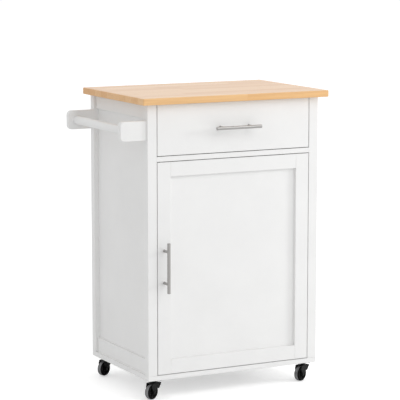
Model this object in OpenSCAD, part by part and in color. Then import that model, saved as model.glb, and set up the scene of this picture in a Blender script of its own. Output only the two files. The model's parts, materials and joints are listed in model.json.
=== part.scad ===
// Kitchen island cart: a painted frame-and-panel cabinet with a wooden worktop, one drawer,
// one door, a towel rail on its left side and four swivel casters.
// The front faces -Y and the towel rail is on the -X side. The floor is at z = 0.

/* [Overall] */
// Width of the worktop
top_w = 620; // [520:5:760]
// Depth of the worktop
top_d = 430; // [360:5:540]
// Height from the floor to the top of the worktop
total_h = 900; // [780:5:1080]

/* [Worktop] */
// Thickness of the worktop
top_t = 20; // [16:1:40]
// Radius of the worktop's four upright corners
top_r = 4; // [1:0.5:15]
// Overhang of the worktop past each side of the cabinet
side_over = 24; // [5:1:60]
// Overhang of the worktop past the cabinet's front
front_over = 24; // [5:1:60]
// Overhang of the worktop past the cabinet's back
back_over = 4; // [0:1:40]

/* [Frame] */
// Width of a corner post, across the front
post_w = 30; // [26:1:50]
// Depth of a corner post, along the side
post_d = 24; // [20:1:40]
// Height of the side rails
rail_h = 45; // [30:1:80]
// Setback of the side rails from the posts' outer faces
rail_set = 8; // [2:1:12]
// Setback of the side panels from the posts' outer faces
panel_set = 15; // [13:1:18]
// Thickness of the base board
base_t = 15; // [12:1:25]
// Thickness of the rail between the drawer and the door
mid_t = 15; // [12:1:25]
// Depth of that rail, front to back
mid_d = 45; // [30:1:80]
// Thickness of the back panel
back_t = 5; // [3:1:9]
// Setback of the back panel from the posts' back faces
back_set = 15; // [6:1:17]
// Thickness of the two stretchers under the worktop
stretch_t = 15; // [12:1:20]
// Width of the two stretchers, front to back
stretch_d = 60; // [40:1:90]

/* [Drawer] */
// Height of the drawer opening, from the middle rail to the worktop
drawer_open_h = 153.5; // [130:0.5:220]
// Thickness of the drawer and door fronts
front_t = 18; // [15:1:22]
// Gap round the drawer front and the door
gap = 2; // [1.5:0.5:4]
// Thickness of the drawer's sides and back
box_t = 12; // [9:1:16]
// Space behind the drawer box, to the back panel
box_behind = 31; // [20:1:60]
// Thickness of the drawer bottom
floor_t = 5; // [3:1:8]
// Height of the drawer bottom above the lower edge of the sides
floor_up = 8; // [5:1:15]
// Height of the drawer box above the middle rail
box_up = 18; // [12:1:24]
// Space over the drawer box, to the stretchers
box_over = 20.5; // [5:0.5:40]

/* [Drawer slides] */
// Space behind each slide, to the back panel
slide_behind = 12; // [2:1:40]
// Length of a slide channel that stays behind the end of its runner
runner_short = 30; // [10:1:60]
// Height of a slide channel
slide_h = 35; // [27:1:46]
// Width of a slide, from the cabinet's side to the drawer's side
slide_w = 12.5; // [12:0.5:14]
// Thickness of the slides' sheet steel
sheet = 1.2; // [1:0.1:1.5]

/* [Door] */
// Width of the door's stiles and rails
stile_w = 43; // [42:1:70]
// Setback of the door panel from the front of its frame
door_recess = 10; // [4:0.5:11]
// Thickness of the door panel
door_panel_t = 5; // [4:0.5:7]
// Depth of the groove that holds the door panel
groove = 6; // [4:0.5:8]
// Distance of each hinge from the end of the door
hinge_end = 80; // [50:1:120]
// Radius of a hinge cup
cup_r = 13; // [11:0.5:15]

/* [Shelf] */
// Thickness of the shelf
shelf_t = 15; // [12:1:18]
// Height of the shelf's underside above the base board
shelf_up = 320; // [200:1:420]
// Radius of a shelf pin
pin_r = 2.5; // [2:0.5:3.5]

/* [Handles] */
// Length of a handle bar
bar_len = 150; // [120:1:200]
// Diameter of a handle bar
bar_d = 10; // [8:0.5:14]
// Diameter of the two posts of a handle
leg_d = 8; // [7:0.5:10]
// Distance between the two posts of a handle
leg_pitch = 96; // [64:32:160]
// Distance from the front to the middle of a handle bar
standoff = 30; // [25:1:40]
// Height of the middle of the door handle above the base board
handle_up = 325; // [200:1:500]

/* [Towel rail] */
// Length of a towel rail arm, out from the post
arm_len = 84; // [60:1:120]
// Height of an arm
arm_h = 58; // [45:1:80]
// Thickness of an arm
arm_t = 18; // [16:1:20]
// Distance of an arm behind the outer face of its post
arm_set = 6; // [2:0.5:8]
// Radius of an arm's two outer corners
arm_r = 13; // [3:1:20]
// Diameter of the round bar
rail_d = 25; // [18:1:32]
// Distance of the bar's centre from the outer end of the arms
rail_in = 28; // [20:1:35]
// Depth of the socket in each arm that holds the bar
socket = 6; // [4:1:10]
// Distance of the middle of the arms below the top of the posts
arm_drop = 76; // [60:1:200]

/* [Casters] */
// Height of a caster, from the floor to the base board
caster_h = 60; // [56:1:70]
// Diameter of a wheel
wheel_d = 45; // [36:1:46]
// Width of a wheel
wheel_w = 18; // [14:1:22]
// Distance from the swivel axis to the wheel's axle
trail = 9; // [7:1:12]
// Side of the square mounting plate
plate_w = 42; // [38:1:48]
// Distance of a swivel axis from the two nearest edges of the base board
caster_in = 31; // [25:1:60]
// Swivel angle of the casters, measured from +X to the way they roll
swivel = 25; // [0:1:90]

/* [Hidden] */
$fn = 48;

// Overlap of a cutting shape past the face it opens
cut = 1;
// Space between a screw and its hole
screw_gap = 0.1;
// Space between two pieces that move past each other
run_gap = 0.3;
// Radial space of a shaft in its bearing
shaft_gap = 0.05;

// Cabinet, about its own middle
body_w = top_w - 2 * side_over;
body_d = top_d - front_over - back_over;
left = -body_w / 2;
front = -body_d / 2;
back = body_d / 2;
inner_w = body_w - 2 * post_w;
inner = inner_w / 2;
base_z = caster_h + base_t;
post_top = total_h - top_t;
post_h = post_top - base_z;
mid_z = post_top - drawer_open_h - mid_t;

// The origin is the middle of the whole cart's footprint, on the floor
handle_reach = standoff + bar_d / 2;
move_x = (arm_len - side_over) / 2;
move_y = (handle_reach - back_over) / 2;

// Drawer
drawer_z = mid_z + mid_t + gap;
drawer_h = drawer_open_h - 2 * gap;
front_w = inner_w - 2 * gap;
box_z = mid_z + mid_t + box_up;
box_w = inner_w - 2 * slide_w;
box_y = front + front_t;
box_h = drawer_open_h - box_up - stretch_t - box_over;
back_y = back - back_set - back_t;
box_d = back_y - box_behind - box_y;
slide_z = box_z + box_h / 2;
slide_y = box_y + 2;
slide_len = back_y - slide_behind - slide_y;
channel_w = slide_w - 3;
runner_h = slide_h - 2 * sheet - 4;

// Door
door_z = base_z + gap;
door_h = mid_z - gap - door_z;
door_edge = inner - gap;
hinge_zs = [door_z + hinge_end, door_z + door_h - hinge_end];
cup_edge = 5;
cup_x = door_edge - cup_r - cup_edge;
cup_depth = 11.5;
flange_t = 1;
strike_x = -inner + 45;
strike_t = 1.5;
strike_z = mid_z - 9.5;

// Handles
door_handle_x = -door_edge + stile_w / 2;
door_handle_z = base_z + handle_up;
drawer_handle_z = drawer_z + drawer_h / 2;
handle_screw_r = 2;
handle_screw_in = 10;

// Towel rail
arm_z = post_top - arm_drop;
arm_y = body_d / 2 - arm_set - arm_t / 2;
rail_x = left - arm_len + rail_in;
arm_screw_r = 2.5;
arm_screw_pitch = 30;
arm_screw_in = 22;

// Shelf pins sit in rows of holes in the side panels
shelf_z = base_z + shelf_up;
pin_y = body_d / 2 - 70;
pin_step = 32;
pin_in = 9;

// Worktop screws
top_screw_r = 2;
top_screw_in = 13;
top_screw_x = inner - 60;

// Casters, each about its own swivel axis
plate_t = 2.5;
race_r = 9.5;
king_r = 4;
fork_t = 2;
crown_z = wheel_d + 2;
cup_top = caster_h - plate_t - 4;
leg_in = wheel_w / 2 + 1.2;
axle_r = 3;
axle_z = wheel_d / 2;
rivet_r = 5;
rivet_t = 1.5;
caster_screw_r = 2;
caster_screw_pitch = 32;
caster_screw_in = 12;
pedal_pin_r = 1.5;
pedal_x = 10.5;
pedal_z = crown_z - 5.5;
crown_x = race_r - 0.5;
crown_back = -trail - 8;

// Moves a piece from the cabinet's own middle to the cart's origin
module cart() {
    translate([move_x, move_y, 0])
        children();
}

// A box from one corner to the opposite one
module block(low, high) {
    translate(low)
        cube(high - low);
}

// A flat rectangle with round corners
module round_rect(w, d, r) {
    square([w - 2 * r, d], center = true);
    square([w, d - 2 * r], center = true);
    for (x = [-1, 1], y = [-1, 1])
        translate([x * (w / 2 - r), y * (d / 2 - r)])
            circle(r);
}

// A round bar between two points on a line along Y
module rod_y(r, y0, y1) {
    translate([0, y0, 0])
        rotate([-90, 0, 0])
            cylinder(h = y1 - y0, r = r);
}

// A round bar between two points on a line along X
module rod_x(r, x0, x1) {
    translate([x0, 0, 0])
        rotate([0, 90, 0])
            cylinder(h = x1 - x0, r = r);
}

// ---------- Frame ----------

module worktop() {
    color("#e2b577")
        cart()
            difference() {
                translate([0, (back_over - front_over) / 2, post_top])
                    linear_extrude(top_t)
                        round_rect(top_w, top_d, top_r);
                at_top_screws()
                    translate([0, 0, post_top - cut])
                        cylinder(h = top_screw_in + cut, r = top_screw_r + screw_gap);
            }
}

// A corner post: side is -1 on the left and 1 on the right, end is -1 in front and 1 behind
module post(side, end) {
    color("white")
        cart()
            difference() {
                translate([side * (body_w - post_w) / 2, end * (body_d - post_d) / 2, base_z])
                    translate([-post_w / 2, -post_d / 2, 0])
                        cube([post_w, post_d, post_h]);
                if (side < 0)
                    at_arm_screws(end)
                        arm_screw_hole();
            }
}

module side_panel(side) {
    color("whitesmoke")
        cart()
            mirror([side > 0 ? 1 : 0, 0, 0])
                difference() {
                    block([left + panel_set, front + post_d, base_z + rail_h],
                          [-inner, back - post_d, post_top - rail_h]);
                    for (y = [-pin_y, pin_y], row = [-1 : 1])
                        translate([-inner, y, shelf_z - pin_r + row * pin_step])
                            rod_x(pin_r + screw_gap, -pin_in, cut);
                }
}

module side_rail(side, z) {
    color("white")
        cart()
            mirror([side > 0 ? 1 : 0, 0, 0])
                block([left + rail_set, front + post_d, z], [-inner, back - post_d, z + rail_h]);
}

module back_panel() {
    color("whitesmoke")
        cart()
            block([-inner, back_y, base_z], [inner, back_y + back_t, post_top]);
}

// A stretcher under the worktop: near is the edge of it that is nearer the front
module stretcher(near) {
    color("white")
        cart()
            difference() {
                block([-inner, near, post_top - stretch_t], [inner, near + stretch_d, post_top]);
                at_top_screws()
                    translate([0, 0, post_top - stretch_t - cut])
                        cylinder(h = stretch_t + 2 * cut, r = top_screw_r + screw_gap);
            }
}

module middle_rail() {
    color("white")
        cart()
            block([-inner, front, mid_z], [inner, front + mid_d, mid_z + mid_t]);
}

module base_board() {
    color("white")
        cart()
            difference() {
                translate([0, 0, caster_h])
                    linear_extrude(base_t)
                        round_rect(body_w, body_d, 2);
                for (x = [-1, 1], y = [-1, 1])
                    at_caster(x, y)
                        at_plate_screws()
                            translate([0, 0, caster_h - cut])
                                cylinder(h = caster_screw_in + cut, r = caster_screw_r + screw_gap);
            }
}

module shelf() {
    color("whitesmoke")
        cart()
            block([-inner + 1, front + front_t + 8, shelf_z],
                  [inner - 1, back_y - 8, shelf_z + shelf_t]);
}

module shelf_pins() {
    color("silver")
        cart()
            for (side = [0, 1], y = [-pin_y, pin_y])
                mirror([side, 0, 0])
                    translate([-inner, y, shelf_z - pin_r])
                        rod_x(pin_r, -pin_in, pin_in);
}

// The four places where the worktop is screwed down
module at_top_screws() {
    front_row = front + post_d + stretch_d / 2;
    back_row = back_y - stretch_d / 2;
    for (x = [-top_screw_x, top_screw_x], y = [front_row, back_row])
        translate([x, y, 0])
            children();
}

module worktop_screws() {
    head_t = 2.5;
    color("silver")
        cart()
            at_top_screws() {
                translate([0, 0, post_top - stretch_t - head_t])
                    cylinder(h = head_t, r = 2 * top_screw_r);
                translate([0, 0, post_top - stretch_t - head_t])
                    cylinder(h = head_t + stretch_t + top_screw_in - cut, r = top_screw_r);
            }
}

// ---------- Towel rail ----------

// The two screws of the arm at one end: -1 in front and 1 behind
module at_arm_screws(end) {
    for (up = [-1, 1])
        translate([left, end * arm_y, arm_z + up * arm_screw_pitch / 2])
            children();
}

// The hole of one arm screw, through the post and into the arm
module arm_screw_hole() {
    rod_x(arm_screw_r + screw_gap, -arm_screw_in - cut, post_w + cut);
    rod_x(2 * arm_screw_r + screw_gap, post_w - 3, post_w + cut);
}

module towel_arm(end) {
    mid_y = end * arm_y;
    color("white")
        cart()
            difference() {
                translate([left - arm_len, mid_y + arm_t / 2, arm_z])
                    rotate([90, 0, 0])
                        linear_extrude(arm_t)
                            arm_outline();
                translate([rail_x, mid_y - end * arm_t / 2, arm_z])
                    rod_y(rail_d / 2 + screw_gap, end > 0 ? -cut : -socket, end > 0 ? socket : cut);
                at_arm_screws(end)
                    arm_screw_hole();
            }
}

// An arm seen from the front, with its outer end at x = 0
module arm_outline() {
    translate([arm_r, -arm_h / 2])
        square([arm_len - arm_r, arm_h]);
    translate([0, -arm_h / 2 + arm_r])
        square([arm_len, arm_h - 2 * arm_r]);
    for (up = [-1, 1])
        translate([arm_r, up * (arm_h / 2 - arm_r)])
            circle(arm_r);
}

module towel_bar() {
    half = arm_y - arm_t / 2 + socket - cut / 2;
    color("white")
        cart()
            translate([rail_x, 0, arm_z])
                rod_y(rail_d / 2, -half, half);
}

module towel_arm_screws() {
    color("silver")
        cart()
            for (end = [-1, 1])
                at_arm_screws(end) {
                    rod_x(arm_screw_r, -arm_screw_in, post_w - 1);
                    rod_x(2 * arm_screw_r, post_w - 3 + screw_gap, post_w - screw_gap);
                }
}

// ---------- Drawer slides and drawer ----------

// A C-shaped section open towards +X: w is its depth and h its height
module c_section(w, h) {
    difference() {
        translate([0, -h / 2])
            square([w, h]);
        translate([sheet, -h / 2 + sheet])
            square([w, h - 2 * sheet]);
    }
}

// A C-shaped strip along Y with its web at x = 0
module c_strip(w, h, len) {
    translate([0, len, 0])
        rotate([90, 0, 0])
            linear_extrude(len)
                c_section(w, h);
}

module slide_channel(side) {
    color("silver")
        cart()
            mirror([side > 0 ? 1 : 0, 0, 0])
                translate([-inner, slide_y, slide_z])
                    c_strip(channel_w, slide_h, slide_len);
}

module drawer_runner(side) {
    color("gainsboro")
        cart()
            mirror([side > 0 ? 1 : 0, 0, 0])
                translate([-inner + slide_w, slide_y, slide_z])
                    mirror([1, 0, 0])
                        c_strip(channel_w, runner_h, slide_len - runner_short);
}

module drawer_front() {
    color("white")
        cart()
            difference() {
                block([-front_w / 2, front, drawer_z], [front_w / 2, front + front_t, drawer_z + drawer_h]);
                for (x = [-leg_pitch / 2, leg_pitch / 2])
                    translate([x, 0, drawer_handle_z])
                        rod_y(handle_screw_r + screw_gap, front - cut, front + front_t + cut);
            }
}

// A side of the drawer box, with a groove for the drawer bottom
module drawer_side(side) {
    color("whitesmoke")
        cart()
            mirror([side > 0 ? 1 : 0, 0, 0])
                difference() {
                    block([-box_w / 2, box_y, box_z], [-box_w / 2 + box_t, box_y + box_d, box_z + box_h]);
                    block([-box_w / 2 + box_t / 2, box_y - cut, box_z + floor_up],
                          [-box_w / 2 + box_t + cut, box_y + box_d + cut, box_z + floor_up + floor_t]);
                }
}

module drawer_back() {
    color("whitesmoke")
        cart()
            block([-box_w / 2 + box_t, box_y + box_d - box_t, box_z + floor_up + floor_t],
                  [box_w / 2 - box_t, box_y + box_d, box_z + box_h]);
}

module drawer_bottom() {
    color("beige")
        cart()
            block([-box_w / 2 + box_t / 2, box_y, box_z + floor_up],
                  [box_w / 2 - box_t / 2, box_y + box_d, box_z + floor_up + floor_t]);
}

// A bar handle on two posts. Its bar lies along X, and its posts start at y = 0 and point to -Y.
module bar_handle() {
    difference() {
        union() {
            translate([0, -standoff, 0])
                rod_x(bar_d / 2, -bar_len / 2, bar_len / 2);
            for (x = [-leg_pitch / 2, leg_pitch / 2])
                translate([x, 0, 0])
                    rod_y(leg_d / 2, -standoff, 0);
        }
        for (x = [-leg_pitch / 2, leg_pitch / 2])
            translate([x, 0, 0])
                rod_y(handle_screw_r + screw_gap, -handle_screw_in - cut, cut);
    }
}

// The two screws of a bar handle, from behind the front that it is fixed to
module handle_screws() {
    for (x = [-leg_pitch / 2, leg_pitch / 2])
        translate([x, 0, 0]) {
            rod_y(handle_screw_r, -handle_screw_in, front_t + 2);
            rod_y(2 * handle_screw_r, front_t, front_t + 2);
        }
}

module drawer_handle() {
    color("lightgray")
        cart()
            translate([0, front, drawer_handle_z])
                bar_handle();
}

module drawer_handle_screws() {
    color("silver")
        cart()
            translate([0, front, drawer_handle_z])
                handle_screws();
}

// ---------- Door ----------

// The two upright pieces of the door's frame, grooved for the panel
module door_stile(side) {
    color("white")
        cart()
            difference() {
                mirror([side > 0 ? 1 : 0, 0, 0])
                    difference() {
                        block([-door_edge, front, door_z],
                              [-door_edge + stile_w, front + front_t, door_z + door_h]);
                        block([-door_edge + stile_w - groove, front + door_recess, door_z + stile_w - groove],
                              [-door_edge + stile_w + cut, front + door_recess + door_panel_t,
                               door_z + door_h - stile_w + groove]);
                    }
                if (side > 0)
                    at_hinges()
                        translate([cup_x, front + front_t, 0])
                            rod_y(cup_r + screw_gap, -cup_depth - screw_gap, cut);
                if (side < 0)
                    for (z = [-leg_pitch / 2, leg_pitch / 2])
                        translate([door_handle_x, 0, door_handle_z + z])
                            rod_y(handle_screw_r + screw_gap, front - cut, front + front_t + cut);
            }
}

// A cross piece of the door's frame: z is its lower edge, and up is 1 where its groove is on top
module door_rail(z, up) {
    reach = door_edge - stile_w;
    groove_z = up > 0 ? z + stile_w - groove : z - cut;
    color("white")
        cart()
            difference() {
                block([-reach, front, z], [reach, front + front_t, z + stile_w]);
                block([-reach - cut, front + door_recess, groove_z],
                      [reach + cut, front + door_recess + door_panel_t, groove_z + groove + cut]);
            }
}

module door_panel() {
    reach = door_edge - stile_w + groove - screw_gap;
    z_in = stile_w - groove + screw_gap;
    color("whitesmoke")
        cart()
            block([-reach, front + door_recess, door_z + z_in],
                  [reach, front + door_recess + door_panel_t, door_z + door_h - z_in]);
}

module door_handle() {
    color("lightgray")
        cart()
            translate([door_handle_x, front, door_handle_z])
                rotate([0, 90, 0])
                    bar_handle();
}

module door_handle_screws() {
    color("silver")
        cart()
            translate([door_handle_x, front, door_handle_z])
                rotate([0, 90, 0])
                    handle_screws();
}

// The two heights of the hinges
module at_hinges() {
    for (z = hinge_zs)
        translate([0, 0, z])
            children();
}

// The cups let into the back of the right stile, each with its flange
module hinge_cups() {
    flange_w = 2 * cup_r + 3;
    flange_h = 2 * cup_r + 22;
    color("silver")
        cart()
            at_hinges()
                translate([cup_x, front + front_t, 0])
                    difference() {
                        union() {
                            rod_y(cup_r, -cup_depth, flange_t);
                            block([-flange_w / 2, 0, -flange_h / 2], [flange_w / 2, flange_t, flange_h / 2]);
                        }
                        rod_y(cup_r - 1, -cup_depth + 1, flange_t + cut);
                    }
}

// The cranked hinge arms, each with the plate that fixes it to the cabinet's right side
module hinge_arms() {
    plate_t = 4;
    reach = cup_edge + gap + cup_r + 6;
    color("silver")
        cart()
            at_hinges()
                translate([inner, front + front_t, 0]) {
                    block([-plate_t, 26, -25], [0, 66, 25]);
                    translate([0, 0, -9])
                        linear_extrude(18)
                            polygon([[-plate_t, 74], [-13, 74], [-13, 26], [-reach, 13], [-reach, 4],
                                     [-12, 4], [-plate_t, 16]]);
                }
}

module magnetic_catch() {
    color("white")
        cart()
            difference() {
                block([strike_x - 22, box_y + strike_t + run_gap, mid_z - 14],
                      [strike_x + 22, box_y + 22, mid_z]);
                for (x = [-16, 16])
                    translate([strike_x + x, box_y + 12, mid_z - 14 - cut])
                        cylinder(h = 14 + 2 * cut, r = 1.6);
            }
}

module strike_plate() {
    color("silver")
        cart()
            block([strike_x - 14, box_y, strike_z - 6], [strike_x + 14, box_y + strike_t, strike_z + 6]);
}

// ---------- Casters ----------

// A caster's swivel axis at one corner, with the piece unturned
module at_caster(x, y) {
    translate([x * (body_w / 2 - caster_in), y * (body_d / 2 - caster_in), 0])
        children();
}

// A caster's swivel axis at one corner, turned so that the wheel trails along -X
module at_swivel(x, y) {
    at_caster(x, y)
        rotate([0, 0, swivel])
            children();
}

module at_plate_screws() {
    for (x = [-1, 1], y = [-1, 1])
        translate([x * caster_screw_pitch / 2, y * caster_screw_pitch / 2, 0])
            children();
}

// The fixed part of a caster: plate, bearing race and kingpin
module caster_plate(x, y) {
    top = caster_h - plate_t;
    head_z = crown_z - run_gap - 1.6;
    color("dimgray")
        cart()
            at_caster(x, y) {
                difference() {
                    translate([0, 0, top])
                        linear_extrude(plate_t)
                            round_rect(plate_w, plate_w, 5);
                    at_plate_screws()
                        translate([0, 0, top - cut])
                            cylinder(h = plate_t + 2 * cut, r = caster_screw_r + screw_gap);
                }
                translate([0, 0, cup_top + run_gap])
                    cylinder(h = top - cup_top - run_gap, r = race_r);
                translate([0, 0, head_z])
                    cylinder(h = top - head_z, r = king_r);
                translate([0, 0, head_z])
                    cylinder(h = 1.6, r = king_r + 2);
            }
}

module caster_screws() {
    head_t = 1.6;
    color("silver")
        cart()
            for (x = [-1, 1], y = [-1, 1])
                at_caster(x, y)
                    at_plate_screws() {
                        translate([0, 0, caster_h - plate_t - head_t])
                            cylinder(h = head_t + plate_t + caster_screw_in - cut, r = caster_screw_r);
                        translate([0, 0, caster_h - plate_t - head_t])
                            cylinder(h = head_t, r = 1.8 * caster_screw_r);
                    }
}

// One leg of a fork seen from its side: it narrows from the crown down to the axle
module leg_outline() {
    polygon([
        [crown_x, crown_z + fork_t], [crown_back, crown_z + fork_t], [crown_back - 3, crown_z - 8],
        [-trail - 6, axle_z], [-trail + 6, axle_z], [pedal_x + 2, pedal_z - 3], [pedal_x + 3, pedal_z]
    ]);
    translate([-trail, axle_z])
        circle(6);
}

// The turning part of a caster: crown, two legs, bearing cup and riveted axle
module caster_fork(x, y) {
    outside = leg_in + fork_t;
    color("dimgray")
        cart()
            at_swivel(x, y) {
                difference() {
                    union() {
                        block([crown_back, -outside, crown_z], [crown_x, outside, crown_z + fork_t]);
                        translate([0, 0, crown_z])
                            cylinder(h = cup_top - crown_z, r = race_r);
                    }
                    translate([0, 0, crown_z - cut])
                        cylinder(h = cup_top - crown_z + 2 * cut, r = king_r + shaft_gap);
                }
                for (y0 = [-leg_in, outside])
                    translate([0, y0, 0])
                        rotate([90, 0, 0])
                            linear_extrude(fork_t)
                                leg_outline();
                translate([-trail, 0, axle_z]) {
                    rod_y(axle_r, -outside - 1, outside + 1);
                    rod_y(rivet_r, outside, outside + rivet_t);
                    rod_y(rivet_r, -outside - rivet_t, -outside);
                }
                if (y < 0)
                    translate([pedal_x, 0, pedal_z])
                        rod_y(pedal_pin_r, -outside, outside);
            }
}

// A wheel with a rounded tread, hub bosses and dished faces
module caster_wheel(x, y) {
    tread_r = 5;
    hub_r = 7;
    color("#161616")
        cart()
            at_swivel(x, y)
                translate([-trail, 0, axle_z])
                    rotate([90, 0, 0])
                        difference() {
                            union() {
                                rotate_extrude()
                                    wheel_half(tread_r);
                                cylinder(h = wheel_w + 1.4, r = hub_r, center = true);
                            }
                            cylinder(h = wheel_w + 4, r = axle_r + shaft_gap, center = true);
                        }
}

// Half of the wheel's section: x is the radius and y runs along the axle
module wheel_half(r) {
    outer = wheel_d / 2;
    difference() {
        union() {
            translate([0, -wheel_w / 2])
                square([outer - r, wheel_w]);
            translate([0, -wheel_w / 2 + r])
                square([outer, wheel_w - 2 * r]);
            for (s = [-1, 1])
                translate([outer - r, s * (wheel_w / 2 - r)])
                    circle(r);
        }
        for (s = [-1, 1])
            translate([11.5, s * wheel_w / 2])
                square([9, 4], center = true);
    }
}

// A brake pedal, hinged on the front of the fork and shown released, with a level top
module brake_pedal(x) {
    half = wheel_w / 2 - 1;
    boss_r = 3.2;
    color("#161616")
        cart()
            at_swivel(x, -1)
                translate([pedal_x, half, pedal_z])
                    rotate([90, 0, 0])
                        difference() {
                            union() {
                                cylinder(h = 2 * half, r = boss_r);
                                linear_extrude(2 * half)
                                    polygon([
                                        [-1, 2.8], [17, 4.5], [17.5, 2.5],
                                        [7, -12], [6, -12], [3, -6], [-1, -2.8]
                                    ]);
                            }
                            translate([0, 0, -cut])
                                cylinder(h = 2 * half + 2 * cut, r = pedal_pin_r + shaft_gap);
                        }
}

worktop();
post(-1, -1);  // post_front_left
post(1, -1);  // post_front_right
post(-1, 1);  // post_back_left
post(1, 1);  // post_back_right
side_panel(-1);  // side_panel_left
side_panel(1);  // side_panel_right
side_rail(-1, post_top - rail_h);  // side_top_rail_left
side_rail(1, post_top - rail_h);  // side_top_rail_right
side_rail(-1, base_z);  // side_bottom_rail_left
side_rail(1, base_z);  // side_bottom_rail_right
back_panel();
stretcher(front + post_d);  // stretcher_front
stretcher(back_y - stretch_d);  // stretcher_back
middle_rail();
base_board();
shelf();
shelf_pins();
worktop_screws();
towel_arm(-1);  // towel_arm_front
towel_arm(1);  // towel_arm_back
towel_bar();
towel_arm_screws();
slide_channel(-1);  // slide_channel_left
slide_channel(1);  // slide_channel_right
magnetic_catch();
hinge_arms();
caster_screws();
drawer_front();
drawer_side(-1);  // drawer_side_left
drawer_side(1);  // drawer_side_right
drawer_back();
drawer_bottom();
drawer_runner(-1);  // drawer_runner_left
drawer_runner(1);  // drawer_runner_right
drawer_handle();
drawer_handle_screws();
door_stile(-1);  // door_stile_left
door_stile(1);  // door_stile_right
door_rail(door_z + door_h - stile_w, -1);  // door_rail_top
door_rail(door_z, 1);  // door_rail_bottom
door_panel();
door_handle();
door_handle_screws();
hinge_cups();
strike_plate();
caster_plate(-1, -1);  // caster_plate_front_left
caster_plate(1, -1);  // caster_plate_front_right
caster_plate(-1, 1);  // caster_plate_back_left
caster_plate(1, 1);  // caster_plate_back_right
caster_fork(-1, -1);  // caster_fork_front_left
caster_fork(1, -1);  // caster_fork_front_right
caster_fork(-1, 1);  // caster_fork_back_left
caster_fork(1, 1);  // caster_fork_back_right
caster_wheel(-1, -1);  // caster_wheel_front_left
caster_wheel(1, -1);  // caster_wheel_front_right
caster_wheel(-1, 1);  // caster_wheel_back_left
caster_wheel(1, 1);  // caster_wheel_back_right
brake_pedal(-1);  // brake_pedal_left
brake_pedal(1);  // brake_pedal_right
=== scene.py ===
"""Builds the visible pieces and finishes of a kitchen island cart around its fixed frame."""

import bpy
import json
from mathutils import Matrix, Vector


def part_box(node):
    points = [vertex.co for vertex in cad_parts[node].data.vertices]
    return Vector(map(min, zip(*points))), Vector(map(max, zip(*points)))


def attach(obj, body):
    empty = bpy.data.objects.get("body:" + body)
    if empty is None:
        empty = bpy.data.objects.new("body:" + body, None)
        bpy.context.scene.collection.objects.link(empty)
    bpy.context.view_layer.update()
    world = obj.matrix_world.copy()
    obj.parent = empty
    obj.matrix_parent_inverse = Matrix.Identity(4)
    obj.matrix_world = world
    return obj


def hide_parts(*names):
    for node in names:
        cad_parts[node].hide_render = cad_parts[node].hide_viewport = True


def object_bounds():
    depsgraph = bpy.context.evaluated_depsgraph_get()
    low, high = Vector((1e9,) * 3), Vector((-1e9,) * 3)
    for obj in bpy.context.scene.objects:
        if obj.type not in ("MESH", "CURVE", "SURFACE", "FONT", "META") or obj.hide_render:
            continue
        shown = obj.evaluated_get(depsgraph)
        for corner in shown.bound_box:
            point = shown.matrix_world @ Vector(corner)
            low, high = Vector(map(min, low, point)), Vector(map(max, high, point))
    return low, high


bl_info = {
    "name": "Kitchen island cart",
    "version": (1, 0, 0),
    "blender": (4, 5, 0),
    "location": "3D View > Sidebar > Cart",
    "description": "Makes the worktop, cabinet, fronts, fittings, casters and stage of a kitchen island cart",
    "category": "Object",
}

import json
import math

import bmesh
import bpy
from bpy.props import FloatProperty, FloatVectorProperty, IntProperty, PointerProperty
from mathutils import Matrix, Vector

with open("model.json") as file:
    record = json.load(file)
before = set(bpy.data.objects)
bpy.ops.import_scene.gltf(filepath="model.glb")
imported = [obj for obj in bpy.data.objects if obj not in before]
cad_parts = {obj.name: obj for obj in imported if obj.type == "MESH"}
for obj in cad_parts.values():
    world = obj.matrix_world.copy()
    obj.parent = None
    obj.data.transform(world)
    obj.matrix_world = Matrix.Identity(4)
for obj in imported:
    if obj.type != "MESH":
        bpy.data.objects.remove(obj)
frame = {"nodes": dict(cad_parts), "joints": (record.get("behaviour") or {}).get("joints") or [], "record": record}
CAD_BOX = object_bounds()
RECORD = frame["record"]
BODY_OF = {node: body for body, nodes in RECORD["behaviour"]["bodies"].items() for node in nodes}
SLOT_OF = {part["node"]: part["material_slot"] for part in RECORD["subparts"]}
JOINTS = {joint["name"]: joint for joint in frame["joints"]}
CORNERS = ("front_left", "front_right", "back_left", "back_right")
MM = 0.001


# ---------- sizes and colours ----------


def size(name, words, default, low, high):
    """A length in metres that a user may change."""
    return FloatProperty(name=name, description=words, default=default, min=low, max=high, unit="LENGTH")


def colour(name, words, default):
    """A colour that a user may change."""
    return FloatVectorProperty(
        name=name, description=words, default=default, size=3, min=0.0, max=1.0, subtype="COLOR"
    )


class CartSizes(bpy.types.PropertyGroup):
    """Radii and fine sizes that the frame leaves to the finish."""

    worktop_arris: size("Worktop arris", "Radius of the worktop's edges", 2.2 * MM, 0.5 * MM, 6 * MM)
    frame_arris: size("Frame arris", "Radius of the posts' and rails' edges", 1.2 * MM, 0.3 * MM, 3 * MM)
    front_arris: size("Front arris", "Radius of the fronts' edges", 1.0 * MM, 0.3 * MM, 3 * MM)
    base_round: size("Base rounding", "Radius of the base board's lower edge", 6.5 * MM, 1 * MM, 7 * MM)
    board_arris: size("Board arris", "Radius of thin boards' edges", 0.5 * MM, 0.2 * MM, 2 * MM)
    arm_arris: size("Towel arm arris", "Radius of the towel arms' edges", 2.6 * MM, 0.5 * MM, 5 * MM)
    metal_arris: size("Metal arris", "Radius of the edges of pressed steel", 0.4 * MM, 0.1 * MM, 1 * MM)
    stave_width: size("Stave width", "Width of one stave of the worktop", 43 * MM, 20 * MM, 90 * MM)
    stave_length: size("Stave length", "Length of one stave of the worktop", 0.42, 0.15, 0.9)
    round_sides: IntProperty(
        name="Round sides", description="Number of sides of a turned piece", default=64, min=24, max=128
    )
    wheel_ribs: IntProperty(
        name="Wheel ribs", description="Number of ribs of a wheel's side", default=6, min=3, max=12
    )


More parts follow.
